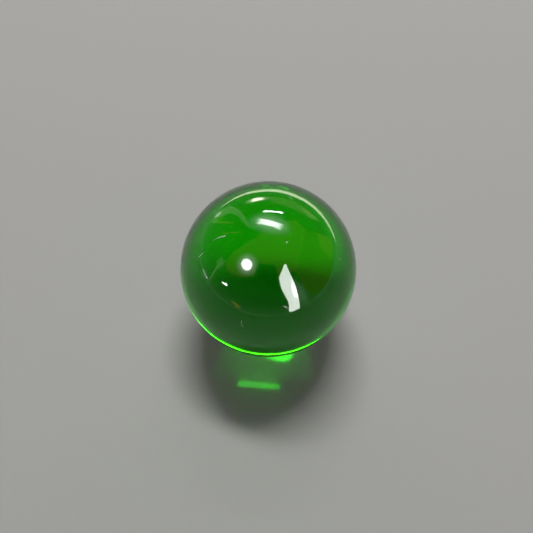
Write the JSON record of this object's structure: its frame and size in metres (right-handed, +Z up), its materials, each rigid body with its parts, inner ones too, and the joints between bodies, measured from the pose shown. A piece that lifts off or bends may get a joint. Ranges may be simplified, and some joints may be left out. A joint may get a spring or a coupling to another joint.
{
  "type": "acrylic ball",
  "caption": "Solid round ball of clear green acrylic, polished all over, for a desk, a display stand or a paperweight.",
  "frame": {"origin": "centre of the ball", "axes": "+Z points up from whatever the ball lies on, +X and +Y are level; the ball is the same along every axis"},
  "size_m": [0.06, 0.06, 0.06],
  "materials": {
    "green_acrylic": "polished, clear, dyed through"
  },
  "bodies": {
    "root": {"ball": "green_acrylic"}
  },
  "joints": []
}
